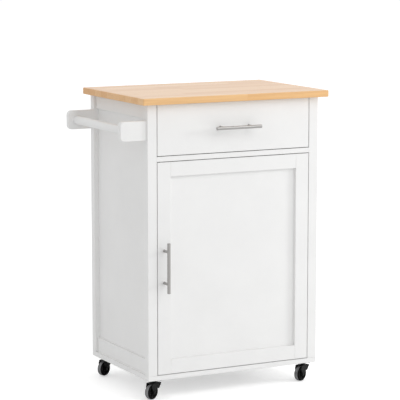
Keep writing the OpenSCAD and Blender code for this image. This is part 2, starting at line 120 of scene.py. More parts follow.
class CartColours(bpy.types.PropertyGroup):
    """Base colours of the cart's finishes, in linear values."""

    wood_pale: colour("Pale wood", "Lightest staves of the worktop", (0.88, 0.55, 0.25))
    wood_deep: colour("Deep wood", "Darkest staves of the worktop", (0.74, 0.375, 0.12))
    wood_line: colour("Grain line", "Late wood and pores of the worktop", (0.46, 0.21, 0.07))
    paint: colour("Paint", "White paint of the cabinet", (0.87, 0.87, 0.865))
    board: colour("Faced board", "White facing of the inner boards", (0.84, 0.84, 0.825))
    ply: colour("Plywood", "Bottom of the drawer", (0.62, 0.47, 0.29))
    nickel: colour("Nickel", "Brushed nickel of the handles", (0.44, 0.43, 0.42))
    zinc: colour("Zinc", "Zinc plated steel", (0.55, 0.56, 0.57))
    enamel: colour("Enamel", "Black enamel of the caster forks", (0.004, 0.004, 0.0042))
    # Grey of the middle band of each wheel's tread: a painted highlight on black rubber, not the rubber's own
    # colour.
    tread: colour("Tread", "Rubber of the wheels", (0.14, 0.14, 0.145))
    plastic: colour("Black plastic", "Brake pedals and wheel centres", (0.003, 0.003, 0.003))
    catch: colour("White plastic", "Case of the magnetic catch", (0.80, 0.80, 0.78))
    floor: colour("Floor", "Floor of the stage", (0.90, 0.90, 0.90))


class CartStage(bpy.types.PropertyGroup):
    """The camera and the lamps."""

    camera_place: FloatVectorProperty(
        name="Camera place",
        description="Where the camera stands",
        default=(-2.6865, -5.2257, 1.4235),
        size=3,
        subtype="TRANSLATION",
        unit="LENGTH",
    )
    camera_turn: FloatProperty(
        name="Camera turn",
        description="Heading of the camera from +Y",
        default=math.radians(-27.3),
        subtype="ANGLE",
    )
    camera_tilt: FloatProperty(
        name="Camera tilt",
        description="How far the camera looks down",
        default=math.radians(8.35),
        subtype="ANGLE",
    )
    lens: FloatProperty(
        name="Lens", description="Focal length in millimetres", default=175.06, min=20, max=400
    )
    sky: FloatProperty(
        name="Sky", description="Strength of the even white surround", default=0.775, min=0, max=5
    )
    key: FloatProperty(
        name="Key lamp", description="Power of the lamp on the right", default=44, min=0, max=2000
    )
    front: FloatProperty(
        name="Front lamp", description="Power of the high lamp in front", default=25, min=0, max=2000
    )
    glow: FloatProperty(
        name="Floor glow", description="Light that the floor shows the camera", default=0.45, min=0, max=2
    )


def sizes():
    return bpy.context.scene.cart_sizes


def colours():
    return bpy.context.scene.cart_colours


# ---------- shader helpers ----------


def put(tree, kind, ins=None, **settings):
    """Adds a node. ins maps its sockets to values or to other nodes' sockets."""
    node = tree.nodes.new(kind)
    for key, value in settings.items():
        setattr(node, key, value)
    for key, value in (ins or {}).items():
        if isinstance(value, bpy.types.NodeSocket):
            tree.links.new(value, node.inputs[key])
        else:
            node.inputs[key].default_value = value
    return node


def calc(tree, operation, a, b=0.0, c=0.0, clamp=False):
    """A Math node's result."""
    ins = {0: a, 1: b, 2: c} if operation == "MULTIPLY_ADD" else {0: a, 1: b}
    return put(tree, "ShaderNodeMath", ins, operation=operation, use_clamp=clamp).outputs[0]


def remap(tree, value, low, high, to_low=0.0, to_high=1.0):
    """A value moved from one range to another, clamped."""
    ins = {"Value": value, "From Min": low, "From Max": high, "To Min": to_low, "To Max": to_high}
    return put(tree, "ShaderNodeMapRange", ins).outputs[0]


def tint(tree, share, first, second):
    """Two colours mixed by a share from 0 to 1."""
    node = put(tree, "ShaderNodeMix", data_type="RGBA", blend_type="MIX")
    for key, value in ((0, share), (6, first), (7, second)):
        if isinstance(value, bpy.types.NodeSocket):
            tree.links.new(value, node.inputs[key])
        elif key:
            node.inputs[key].default_value = (*value[:3], 1.0)
        else:
            node.inputs[key].default_value = value
    return node.outputs[2]


def stretch(tree, vector, scale):
    """A vector scaled along each axis."""
    return put(tree, "ShaderNodeVectorMath", {0: vector, 1: scale}, operation="MULTIPLY").outputs[0]


def noise(tree, vector, scale, detail=2.0, roughness=0.5):
    """Smooth noise from 0 to 1."""
    ins = {"Vector": vector, "Scale": scale, "Detail": detail, "Roughness": roughness}
    return put(tree, "ShaderNodeTexNoise", ins).outputs[0]


def group_of(name, ins, outs, fill):
    """A node group with named sockets, built once. fill(tree, inputs) gives a socket for each output."""
    if name in bpy.data.node_groups:
        return bpy.data.node_groups[name]
    tree = bpy.data.node_groups.new(name, "ShaderNodeTree")
    for label, kind, default in ins:
        socket = tree.interface.new_socket(name=label, in_out="INPUT", socket_type="NodeSocket" + kind)
        if default is not None:
            socket.default_value = default
    for label, kind in outs:
        tree.interface.new_socket(name=label, in_out="OUTPUT", socket_type="NodeSocket" + kind)
    source = tree.nodes.new("NodeGroupInput").outputs
    sink = tree.nodes.new("NodeGroupOutput").inputs
    for label, socket in fill(tree, source).items():
        tree.links.new(socket, sink[label])
    return tree


def use_group(tree, group, ins):
    """Places a node group in a material and hands on its outputs."""
    return put(tree, "ShaderNodeGroup", ins, node_tree=group).outputs


# ---------- shared effects ----------


def worn_edges():
    """Mask of rubbed edges: the faces marked as eased, broken up by noise."""

    def fill(tree, source):
        mark = put(tree, "ShaderNodeAttribute", attribute_name="eased", attribute_type="GEOMETRY")
        patches = noise(tree, source["Vector"], source["Scale"], 5.0, 0.65)
        broken = remap(tree, patches, 0.48, 0.72)
        rubbed = calc(tree, "MULTIPLY", mark.outputs["Fac"], broken)
        return {"Mask": calc(tree, "MULTIPLY", rubbed, source["Amount"], clamp=True)}

    ins = [("Vector", "Vector", None), ("Scale", "Float", 40.0), ("Amount", "Float", 0.5)]
    return group_of("worn_edges", ins, [("Mask", "Float")], fill)


def settled_dust():
    """Mask of the faint dust that lies on upward faces."""

    def fill(tree, source):
        normal = put(tree, "ShaderNodeNewGeometry").outputs["Normal"]
        up = put(tree, "ShaderNodeSeparateXYZ", {0: normal}).outputs["Z"]
        flat = remap(tree, up, 0.55, 1.0)
        patches = remap(tree, noise(tree, source["Vector"], 22.0, 6.0, 0.6), 0.35, 0.75)
        return {"Mask": calc(tree, "MULTIPLY", calc(tree, "MULTIPLY", flat, patches), source["Amount"])}

    ins = [("Vector", "Vector", None), ("Amount", "Float", 0.3)]
    return group_of("settled_dust", ins, [("Mask", "Float")], fill)


def wood_grain():
    """Long fibres and growth lines that run along X."""

    def fill(tree, source):
        bend = noise(tree, stretch(tree, source["Vector"], (1.6, 9.0, 9.0)), 1.0, 2.0)
        push = put(tree, "ShaderNodeCombineXYZ", {"Y": calc(tree, "MULTIPLY", bend, 0.035)}).outputs[0]
        bent = put(tree, "ShaderNodeVectorMath", {0: source["Vector"], 1: push}, operation="ADD").outputs[0]
        lines = noise(tree, stretch(tree, bent, (2.2, 170.0, 170.0)), 1.0, 4.0, 0.62)
        fibres = noise(tree, stretch(tree, bent, (30.0, 1400.0, 1400.0)), 1.0, 2.0, 0.6)
        pores = remap(tree, noise(tree, stretch(tree, bent, (60.0, 2300.0, 2300.0)), 1.0, 1.0), 0.66, 0.78)
        return {"Lines": remap(tree, lines, 0.32, 0.70), "Fibres": fibres, "Pores": pores}

    outs = [("Lines", "Float"), ("Fibres", "Float"), ("Pores", "Float")]
    return group_of("wood_grain", [("Vector", "Vector", None)], outs, fill)


def stave_rows():
    """Splits the worktop into staves that run along X: a seed for each, and its glue lines."""

    def fill(tree, source):
        parts = put(tree, "ShaderNodeSeparateXYZ", {0: source["Vector"]}).outputs
        across = calc(tree, "DIVIDE", parts["Y"], source["Width"])
        row = calc(tree, "FLOOR", across)
        row_seed = put(tree, "ShaderNodeTexWhiteNoise", {"W": row}, noise_dimensions="1D").outputs["Value"]
        comb = calc(tree, "PINGPONG", parts["Y"], 2.2 * MM)
        toothed = calc(tree, "MULTIPLY_ADD", comb, 3.2, parts["X"])
        lengths = calc(tree, "DIVIDE", toothed, source["Length"])
        along = calc(tree, "ADD", lengths, calc(tree, "MULTIPLY", row_seed, 7.0))
        end = calc(tree, "FLOOR", along)
        place = put(tree, "ShaderNodeCombineXYZ", {"X": row, "Y": end}).outputs[0]
        white = put(tree, "ShaderNodeTexWhiteNoise", {"Vector": place}, noise_dimensions="2D")
        side_gap = calc(tree, "MULTIPLY", calc(tree, "PINGPONG", across, 0.5), source["Width"])
        end_gap = calc(tree, "MULTIPLY", calc(tree, "PINGPONG", along, 0.5), source["Length"])
        glue = calc(
            tree,
            "MAXIMUM",
            remap(tree, side_gap, 0.0, 0.35 * MM, 1.0, 0.0),
            remap(tree, end_gap, 0.0, 0.5 * MM, 0.7, 0.0),
        )
        shift = stretch(tree, white.outputs["Color"], (3.0, 5.0, 5.0))
        moved = put(tree, "ShaderNodeVectorMath", {0: source["Vector"], 1: shift}, operation="ADD").outputs[0]
        return {"Seed": white.outputs["Value"], "Glue": glue, "Moved": moved}

    ins = [("Vector", "Vector", None), ("Width", "Float", 0.04), ("Length", "Float", 0.4)]
    outs = [("Seed", "Float"), ("Glue", "Float"), ("Moved", "Vector")]
    return group_of("stave_rows", ins, outs, fill)


def roller_paint():
    """The slight orange peel of sprayed paint, and a soft cloud for its tone."""

    def fill(tree, source):
        peel = noise(tree, source["Vector"], 420.0, 2.0, 0.5)
        swell = noise(tree, source["Vector"], 60.0, 2.0, 0.5)
        height = calc(tree, "ADD", calc(tree, "MULTIPLY", peel, 0.6), calc(tree, "MULTIPLY", swell, 0.4))
        cloud = noise(tree, source["Vector"], 7.0, 4.0, 0.6)
        return {"Height": height, "Cloud": cloud}

    outs = [("Height", "Float"), ("Cloud", "Float")]
    return group_of("roller_paint", [("Vector", "Vector", None)], outs, fill)


def brushed_lines():
    """Fine lines of a brushed metal, drawn out by the stretch that is passed in."""

    def fill(tree, source):
        fine = noise(tree, stretch(tree, source["Vector"], source["Stretch"]), 1.0, 3.0, 0.7)
        smear = noise(tree, source["Vector"], 35.0, 3.0, 0.55)
        return {"Lines": remap(tree, fine, 0.25, 0.75), "Smear": smear}

    ins = [("Vector", "Vector", None), ("Stretch", "Vector", (40.0, 2500.0, 2500.0))]
    return group_of("brushed_lines", ins, [("Lines", "Float"), ("Smear", "Float")], fill)


# ---------- finishes ----------


def finish_named(name):
    """A new material, its tree, its shader and the object coordinates."""
    made = bpy.data.materials.new(name)
    made.use_nodes = True
    tree = made.node_tree
    tree.nodes.clear()
    output = tree.nodes.new("ShaderNodeOutputMaterial")
    shader = tree.nodes.new("ShaderNodeBsdfPrincipled")
    tree.links.new(shader.outputs[0], output.inputs["Surface"])
    place = tree.nodes.new("ShaderNodeTexCoord").outputs["Object"]
    return made, tree, shader, place


def feed(tree, shader, colour_out, roughness_out, height_out, depth, strength):
    """Links a colour, a roughness and a height to the shader."""
    tree.links.new(colour_out, shader.inputs["Base Color"])
    tree.links.new(roughness_out, shader.inputs["Roughness"])
    ins = {"Height": height_out, "Distance": depth, "Strength": strength}
    tree.links.new(put(tree, "ShaderNodeBump", ins).outputs[0], shader.inputs["Normal"])


def worktop_finish():
    made, tree, shader, place = finish_named("oiled_staves")
    tone = colours()
    stave_size = {"Vector": place, "Width": sizes().stave_width, "Length": sizes().stave_length}
    staves = use_group(tree, stave_rows(), stave_size)
    grain = use_group(tree, wood_grain(), {"Vector": staves["Moved"]})
    base = tint(tree, remap(tree, staves["Seed"], 0.0, 1.0, 0.0, 0.95), tone.wood_pale, tone.wood_deep)
    warm = tint(tree, calc(tree, "MULTIPLY", grain["Lines"], 0.34), base, tone.wood_line)
    cloud = remap(tree, noise(tree, stretch(tree, staves["Moved"], (2.5, 14.0, 14.0)), 1.0, 3.0), 0.3, 0.7)
    streaked = tint(tree, calc(tree, "MULTIPLY", cloud, 0.22), warm, tone.wood_pale)
    pored = tint(tree, calc(tree, "MULTIPLY", grain["Pores"], 0.30), streaked, tone.wood_line)
    glued = tint(tree, calc(tree, "MULTIPLY", staves["Glue"], 0.45), pored, tone.wood_line)
    wear = use_group(tree, worn_edges(), {"Vector": place, "Scale": 30.0, "Amount": 0.35})[0]
    rubbed = tint(tree, wear, glued, tone.wood_pale)
    rough = calc(tree, "MULTIPLY_ADD", grain["Fibres"], 0.16, 0.36)
    rough = calc(tree, "MULTIPLY_ADD", grain["Pores"], 0.15, rough)
    height = calc(tree, "SUBTRACT", calc(tree, "MULTIPLY", grain["Fibres"], 0.5), grain["Pores"])
    height = calc(tree, "SUBTRACT", height, staves["Glue"])
    feed(tree, shader, rubbed, rough, height, 0.00012, 0.35)
    shader.inputs["Coat Weight"].default_value = 0.5
    shader.inputs["Coat Roughness"].default_value = 0.16
    return made


def paint_finish():
    made, tree, shader, place = finish_named("white_satin_paint")
    tone = colours()
    peel = use_group(tree, roller_paint(), {"Vector": place})
    shade = tuple(0.965 * part for part in tone.paint)
    base = tint(tree, remap(tree, peel["Cloud"], 0.3, 0.7), tone.paint, shade)
    wear = use_group(tree, worn_edges(), {"Vector": place, "Scale": 55.0, "Amount": 0.22})[0]
    rubbed = tint(tree, wear, base, (0.70, 0.66, 0.58))
    dust = use_group(tree, settled_dust(), {"Vector": place, "Amount": 0.10})[0]
    dusty = tint(tree, dust, rubbed, (0.66, 0.64, 0.60))
    rough = calc(tree, "MULTIPLY_ADD", peel["Cloud"], 0.14, 0.33)
    rough = calc(tree, "MULTIPLY_ADD", wear, 0.2, rough)
    grain = noise(tree, stretch(tree, place, (260.0, 260.0, 6.0)), 1.0, 2.0)
    height = calc(tree, "MULTIPLY_ADD", grain, 0.25, peel["Height"])
    feed(tree, shader, dusty, rough, height, 0.00009, 0.28)
    return made


def board_finish():
    made, tree, shader, place = finish_named("white_faced_board")
    tone = colours()
    peel = use_group(tree, roller_paint(), {"Vector": place})
    shade = tuple(0.96 * part for part in tone.board)
    base = tint(tree, remap(tree, peel["Cloud"], 0.3, 0.7), tone.board, shade)
    wear = use_group(tree, worn_edges(), {"Vector": place, "Scale": 70.0, "Amount": 0.3})[0]
    rubbed = tint(tree, wear, base, (0.60, 0.52, 0.40))
    grit = noise(tree, place, 900.0, 2.0)
    rough = calc(tree, "MULTIPLY_ADD", grit, 0.12, 0.46)
    feed(tree, shader, rubbed, rough, calc(tree, "ADD", peel["Height"], grit), 0.00006, 0.25)
    return made


def plywood_finish():
    made, tree, shader, place = finish_named("sanded_plywood")
    tone = colours()
    grain = use_group(tree, wood_grain(), {"Vector": place})
    dark = tuple(0.62 * part for part in tone.ply)
    base = tint(tree, calc(tree, "MULTIPLY", grain["Lines"], 0.55), tone.ply, dark)
    pored = tint(tree, calc(tree, "MULTIPLY", grain["Pores"], 0.4), base, dark)
    rough = calc(tree, "MULTIPLY_ADD", grain["Fibres"], 0.2, 0.5)
    feed(tree, shader, pored, rough, grain["Fibres"], 0.0001, 0.4)
    return made


def metal_finish(name, base_colour, line_stretch, rough_low, rough_spread):
    """A plated or brushed metal."""
    made, tree, shader, place = finish_named(name)
    brushed = use_group(tree, brushed_lines(), {"Vector": place, "Stretch": line_stretch})
    dark = tuple(0.80 * part for part in base_colour)
    base = tint(tree, calc(tree, "MULTIPLY", brushed["Lines"], 0.6), base_colour, dark)
    smeared = tint(tree, remap(tree, brushed["Smear"], 0.45, 0.8, 0.0, 0.25), base, dark)
    wear = use_group(tree, worn_edges(), {"Vector": place, "Scale": 90.0, "Amount": 0.3})[0]
    bright = tuple(min(1.0, 1.25 * part) for part in base_colour)
    rubbed = tint(tree, wear, smeared, bright)
    rough = calc(tree, "MULTIPLY_ADD", brushed["Lines"], rough_spread, rough_low)
    rough = calc(tree, "MULTIPLY_ADD", brushed["Smear"], 0.08, rough)
    feed(tree, shader, rubbed, rough, brushed["Lines"], 0.00003, 0.3)
    shader.inputs["Metallic"].default_value = 1.0
    return made


def moulded_finish(name, base_colour, rough_low, grit_scale, depth, gloss, wear_colour=(0.12, 0.12, 0.12)):
    """A moulded plastic, enamel or rubber."""
    made, tree, shader, place = finish_named(name)
    grit = noise(tree, place, grit_scale, 4.0, 0.6)
    cloud = noise(tree, place, 45.0, 4.0, 0.6)
    light = tuple(1.9 * part for part in base_colour)
    base = tint(tree, remap(tree, cloud, 0.35, 0.75), base_colour, light)
    wear = use_group(tree, worn_edges(), {"Vector": place, "Scale": 120.0, "Amount": 0.4})[0]
    rubbed = tint(tree, wear, base, wear_colour)
    dust = use_group(tree, settled_dust(), {"Vector": place, "Amount": 0.06})[0]
    dusty = tint(tree, dust, rubbed, (0.20, 0.19, 0.18))
    rough = calc(tree, "MULTIPLY_ADD", grit, 0.18, rough_low)
    rough = calc(tree, "MULTIPLY_ADD", cloud, 0.10, rough)
    feed(tree, shader, dusty, rough, grit, depth, 0.4)
    shader.inputs["Specular IOR Level"].default_value = gloss
    return made


def floor_finish():
    made, tree, shader, place = finish_named("pale_floor")
    tone = colours()
    cloud = noise(tree, place, 3.0, 4.0, 0.6)
    base = tint(tree, cloud, tone.floor, tuple(0.985 * part for part in tone.floor))
    rough = calc(tree, "MULTIPLY_ADD", noise(tree, place, 240.0, 3.0), 0.1, 0.6)
    feed(tree, shader, base, rough, noise(tree, place, 500.0, 2.0), 0.0001, 0.1)
    tree.links.new(base, shader.inputs["Emission Color"])
    seen = put(tree, "ShaderNodeLightPath").outputs["Is Camera Ray"]
    glow = calc(tree, "MULTIPLY", seen, bpy.context.scene.cart_stage.glow)
    tree.links.new(glow, shader.inputs["Emission Strength"])
    return made


_finishes = {}


def finish(slot):
    """The material of one of the record's slots, or of a wheel's centre, made once."""
    tone = colours()
    white, dark = tone.catch, tone.plastic
    chipped = (0.16, 0.15, 0.14)
    even = Vector((1.0, 1.0, 1.0))
    along_y = (700.0, 25.0, 700.0)
    makers = {
        "worktop_wood": worktop_finish,
        "white_paint": paint_finish,
        "white_board": board_finish,
        "drawer_ply": plywood_finish,
        "handle_steel": lambda: metal_finish("brushed_nickel", tone.nickel, 900.0 * even, 0.24, 0.14),
        "slide_steel": lambda: metal_finish("zinc_slides", tone.zinc, along_y, 0.30, 0.16),
        "hinge_steel": lambda: metal_finish("plated_hinges", tone.nickel, 300.0 * even, 0.22, 0.12),
        "screw_steel": lambda: metal_finish("zinc_screws", tone.zinc, 500.0 * even, 0.28, 0.14),
        "catch_plastic": lambda: moulded_finish("white_plastic", white, 0.40, 700.0, 0.00005, 0.5, white),
        "caster_steel": lambda: moulded_finish(
            "black_enamel", tone.enamel, 0.22, 500.0, 0.00004, 0.15, chipped
        ),
        # The grey of the tread's middle band is a painted highlight on the black rubber.
        "wheel_rubber": lambda: moulded_finish("tread_painted_highlight", tone.tread, 0.30, 900.0, 0.00005, 0.5),
        "wheel_centre": lambda: moulded_finish("black_hub", dark, 0.30, 800.0, 0.00005, 0.08),
        "pedal_plastic": lambda: moulded_finish("black_pedal", dark, 0.34, 800.0, 0.00006, 0.1),
    }
    if slot not in _finishes:
        _finishes[slot] = makers[slot]()
    return _finishes[slot]


# ---------- mesh helpers ----------


def cad_shape(*nodes):
    """A merged copy of some nodes' shapes, with flat faces joined up."""
    bm = bmesh.new()
    for node in nodes:
        bm.from_mesh(frame["nodes"][node].data)
    bmesh.ops.remove_doubles(bm, verts=bm.verts, dist=0.01 * MM)
    bmesh.ops.dissolve_limit(
        bm, angle_limit=math.radians(1.0), use_dissolve_boundaries=False, verts=bm.verts, edges=bm.edges
    )
    return bm


def ease(bm, radius, segments=3, keep=None, shortest=0.0):
    """Rounds the sharp edges that keep accepts, and marks the new faces as eased."""
    mark = bm.faces.layers.float.get("eased") or bm.faces.layers.float.new("eased")
    limit = math.radians(40.0)
    chosen = [
        edge
        for edge in bm.edges
        if len(edge.link_faces) == 2
        and edge.calc_face_angle(0.0) > limit
        and edge.calc_length() >= shortest
        and (keep is None or keep(edge))
    ]
    made = bmesh.ops.bevel(
        bm,
        geom=chosen,
        offset=radius,
        offset_type="OFFSET",
        segments=segments,
        profile=0.5,
        affect="EDGES",
        clamp_overlap=True,
        material=-1,
    )
    for face in made["faces"]:
        face[mark] = 1.0


def middle(edge):
    """The middle of an edge."""
    return (edge.verts[0].co + edge.verts[1].co) / 2


def round_bar_edges(bm, verts, radius):
    """Rounds all edges of a small bar that was just added."""
    edges = {edge for vert in verts for edge in vert.link_edges}
    bmesh.ops.bevel(
        bm,
        geom=list(edges),
        offset=radius,
        segments=2,
        profile=0.5,
        affect="EDGES",
        clamp_overlap=True,
        material=-1,
    )


def add_piece(name, bm, node, angle=35.0):
    """Makes an object of a mesh, gives it its finish, and lets it stand for a CAD node."""
    mesh = bpy.data.meshes.new(name)
    bm.to_mesh(mesh)
    bm.free()
    piece = bpy.data.objects.new(name, mesh)
    bpy.context.scene.collection.objects.link(piece)
    mesh.materials.append(finish(SLOT_OF[node]))
    mesh.shade_smooth()
    mesh.set_sharp_from_angle(angle=math.radians(angle))
    even = piece.modifiers.new("even_normals", "WEIGHTED_NORMAL")
    even.keep_sharp = True
    even.weight = 100
    even.mode = "FACE_AREA"
    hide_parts(node)
    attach(piece, BODY_OF[node])
    return piece


def eased_copy(node, radius, segments=3, keep=None, shortest=3 * MM):
    """A node's own shape with rounded edges."""
    bm = cad_shape(node)
    ease(bm, radius, segments, keep, shortest)
    return add_piece(node.replace("_", "-") + "-piece", bm, node)


def turned(bm, outline, place, steps):
    """Spins an outline of (radius, height) points about local Z and puts it in place."""
    verts = [bm.verts.new((radius, 0.0, height)) for radius, height in outline]
    edges = [bm.edges.new(pair) for pair in zip(verts, verts[1:])]
    bmesh.ops.spin(
        bm, geom=verts + edges, cent=(0, 0, 0), axis=(0, 0, 1), angle=2 * math.pi, steps=steps, use_merge=True
    )
    fresh = [v for v in bm.verts if not v.tag]
    bmesh.ops.remove_doubles(bm, verts=fresh, dist=0.002 * MM)
    fresh = [v for v in bm.verts if not v.tag]
    faces = [f for f in bm.faces if not f.tag]
    bmesh.ops.recalc_face_normals(bm, faces=faces)
    bmesh.ops.transform(bm, matrix=place, verts=fresh)
    for v in bm.verts:
        v.tag = True
    for f in bm.faces:
        f.tag = True


def rod_outline(radius, low, high, round_off):
    """The outline of a closed rod with rounded ends, from its foot on the axis to its top."""
    steps = 4
    turns = [math.pi / 2 * k / steps for k in range(steps + 1)]
    inner, foot, top = radius - round_off, low + round_off, high - round_off
    points = [(0.0, low)]
    points += [(inner + round_off * math.sin(a), foot - round_off * math.cos(a)) for a in turns]
    points += [(inner + round_off * math.cos(a), top + round_off * math.sin(a)) for a in turns]
    return points + [(0.0, high)]


def to_axis(direction, at):
    """A placing that lays local Z along a direction."""
    turn = Vector((0, 0, 1)).rotation_difference(Vector(direction)).to_matrix().to_4x4()
    return Matrix.Translation(Vector(at)) @ turn


def screw_head(bm, at, direction, radius, height):
    """A pan head with a cross recess, its foot at a point and its crown along a direction."""
    taper, crown_round, rim_width = 0.94, 0.42, 0.22
    cross_waist, cross_foot, cross_depth = 0.36, 0.7, 0.55
    arm_half = math.radians(22)
    head = bmesh.new()
    made = bmesh.ops.create_cone(
        head, cap_ends=True, segments=24, radius1=radius, radius2=radius * taper, depth=height
    )
    bmesh.ops.translate(head, verts=made["verts"], vec=(0, 0, height / 2))
    top = next(face for face in head.faces if face.normal.z > 0.9)
    bmesh.ops.bevel(
        head,
        geom=list(top.edges),
        offset=height * crown_round,
        segments=3,
        profile=0.5,
        affect="EDGES",
        clamp_overlap=True,
        material=-1,
    )
    crown = max((face for face in head.faces if face.normal.z > 0.9), key=lambda face: face.calc_area())
    bmesh.ops.inset_region(head, faces=[crown], thickness=radius * rim_width, use_even_offset=True)
    for vert in crown.verts:
        turn = math.atan2(vert.co.y, vert.co.x) % (math.pi / 2)
        if arm_half < turn < math.pi / 2 - arm_half:
            vert.co.x *= cross_waist
            vert.co.y *= cross_waist
    deep = bmesh.ops.extrude_discrete_faces(head, faces=[crown])["faces"][0]
    for vert in deep.verts:
        vert.co.x *= cross_foot
        vert.co.y *= cross_foot
        vert.co.z -= height * cross_depth
    bmesh.ops.transform(head, matrix=to_axis(direction, at), verts=head.verts)
    scratch = bpy.data.meshes.new("scratch")
    head.to_mesh(scratch)
    head.free()
    bm.from_mesh(scratch)
    bpy.data.meshes.remove(scratch)


# ---------- pieces ----------


def rim_distance(point, low, high):
    """How far inside a box's four upright sides a point is."""
    return min(point.x - low.x, high.x - point.x, point.y - low.y, high.y - point.y)


def make_worktop():
    bm = cad_shape("worktop")
    low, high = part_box("worktop")
    edge_in = 5 * MM
    ease(bm, sizes().worktop_arris, 5, lambda edge: rim_distance(middle(edge), low, high) < edge_in)
    add_piece("worktop-top", bm, "worktop")


def make_frame():
    for node in SLOT_OF:
        if node.startswith("post_") or node == "middle_rail":
            eased_copy(node, sizes().frame_arris)
        elif node.startswith("side_") and "rail" in node:
            make_side_rail(node)
    for node in ("stretcher_front", "stretcher_back"):
        eased_copy(node, sizes().board_arris, 2)
    low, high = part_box("base_board")
    inside = 4 * MM

    def on_rim(edge, z):
        level = all(abs(vert.co.z - z) < 0.1 * MM for vert in edge.verts)
        return level and rim_distance(middle(edge), low, high) < inside

    bm = cad_shape("base_board")
    ease(bm, sizes().base_round, 6, lambda edge: on_rim(edge, low.z))
    ease(bm, sizes().board_arris, 2, lambda edge: on_rim(edge, high.z))
    add_piece("base-board-piece", bm, "base_board")


def make_side_rail(node):
    """A rail whose edges are eased, except where it stands on the base board or bears the worktop."""
    low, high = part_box(node)
    joined = low.z if "bottom" in node else high.z
    eased_copy(node, 2 * sizes().frame_arris, keep=lambda edge: abs(middle(edge).z - joined) > 1 * MM)


def make_boards():
    for node, slot in SLOT_OF.items():
        panel = node.startswith("side_panel") or node == "door_panel"
        if panel or slot in ("white_board", "drawer_ply"):
            eased_copy(node, sizes().board_arris, 2)


def make_fronts():
    eased_copy("drawer_front", sizes().front_arris * 1.4, 4)
    for node in ("door_stile_left", "door_stile_right", "door_rail_top", "door_rail_bottom"):
        eased_copy(node, sizes().front_arris * 0.8, 3, shortest=15 * MM)


def make_towel_rail():
    low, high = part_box("towel_bar")
    centre, radius = (low + high) / 2, (high.x - low.x) / 2
    socket = radius + 1.5 * MM
    for end in ("front", "back"):
        node = "towel_arm_" + end
        post_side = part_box(node)[1].x - 0.5 * MM
        screw_side = post_side - 40 * MM

        def outer(edge, post_side=post_side, screw_side=screw_side):
            at = middle(edge)
            in_socket = math.hypot(at.x - centre.x, at.z - centre.z) < socket
            in_screws = at.x > screw_side and edge.calc_length() < 1.2 * MM
            return at.x < post_side and not in_socket and not in_screws

        bm = cad_shape(node)
        ease(bm, sizes().arm_arris, 5, outer)
        add_piece("towel-arm-" + end, bm, node)
    bm = bmesh.new()
    place = to_axis((0, 1, 0), (centre.x, 0, centre.z))
    turned(bm, rod_outline(radius, low.y, high.y, 1 * MM), place, sizes().round_sides)
    add_piece("towel-bar-rod", bm, "towel_bar")


def make_handle(node, bar_axis):
    """A turned bar on two posts. bar_axis is 0 where the bar lies along X and 2 where it stands."""
    low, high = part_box(node)
    bm = bmesh.new()
    other = 2 - bar_axis
    radius = (high[other] - low[other]) / 2
    centre = (low + high) / 2
    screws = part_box(node + "_screws")
    screw_radius = (screws[1][other] - screws[0][other]) / 2
    posts = (screws[0][bar_axis] + screw_radius, screws[1][bar_axis] - screw_radius)
    along = Vector((1, 0, 0)) if bar_axis == 0 else Vector((0, 0, 1))
    at = Vector((centre.x, low.y + radius, centre.z))
    half = (high[bar_axis] - low[bar_axis]) / 2
    turned(bm, rod_outline(radius, -half, half, 0.9 * MM), to_axis(along, at), sizes().round_sides)
    post_radius = radius * 0.8
    reach = high.y - at.y
    flare, foot_round = 0.6 * MM, 0.3 * MM
    outline = [
        (0.0, 0.0),
        (post_radius, 0.0),
        (post_radius, reach - 3.2 * MM),
        (post_radius + flare * 0.4, reach - 2.2 * MM),
        (post_radius + flare, reach - 1.2 * MM),
        (post_radius + flare, reach - foot_round),
        (post_radius + flare - foot_round, reach),
        (0.0, reach),
    ]
    for post in posts:
        foot = at.copy()
        foot[bar_axis] = post
        turned(bm, outline, to_axis((0, 1, 0), foot), 48)
    add_piece(node.replace("_", "-") + "-bar", bm, node, angle=40.0)


def make_handles():
    make_handle("drawer_handle", 0)
    make_handle("door_handle", 2)


def make_slides():
    for side in ("left", "right"):
        eased_copy("slide_channel_" + side, sizes().metal_arris, 2)
        eased_copy("drawer_runner_" + side, sizes().metal_arris, 2)


def make_hinges():
    bm = cad_shape("hinge_arms")
    ease(bm, 0.8 * MM, 3, shortest=3 * MM)
    low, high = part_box("hinge_arms")
    half_plate, plate_screw_up, plate_top_in = 25 * MM, 18 * MM, 4 * MM
    for z in (low.z + half_plate, high.z - half_plate):
        for y in (high.y - 20 * MM, high.y - 38 * MM):
            for up in (-plate_screw_up, plate_screw_up):
                screw_head(bm, (high.x - plate_top_in, y, z + up), (-1, 0, 0), 3.4 * MM, 1.8 * MM)
    add_piece("hinge-arms-pair", bm, "hinge_arms")
    bm = cad_shape("hinge_cups")
    ease(bm, 0.35 * MM, 2, shortest=3 * MM)
    low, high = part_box("hinge_cups")
    centre_x = (low.x + high.x) / 2
    half_flange, flange_screw_up = 24 * MM, 18.5 * MM
    for z in (low.z + half_flange, high.z - half_flange):
        for up in (-flange_screw_up, flange_screw_up):
            screw_head(bm, (centre_x, high.y, z + up), (0, 1, 0), 3.2 * MM, 1.6 * MM)
    add_piece("hinge-cups-pair", bm, "hinge_cups")
    eased_copy("magnetic_catch", 1.2 * MM, 4)
    eased_copy("strike_plate", 0.4 * MM, 2, shortest=1 * MM)


def make_screws():
    bm = cad_shape("shelf_pins")
    ease(bm, 0.4 * MM, 2)
    add_piece("shelf-pins-set", bm, "shelf_pins")
    screw_set("drawer_handle_screws", 2.0 * MM, (0, 1, 0))
    screw_set("door_handle_screws", 2.0 * MM, (0, 1, 0))
    screw_set("towel_arm_screws", 2.6 * MM, (1, 0, 0))
    screw_set("caster_screws", 1.6 * MM, (0, 0, -1))
    screw_set("worktop_screws", 2.5 * MM, (0, 0, -1))


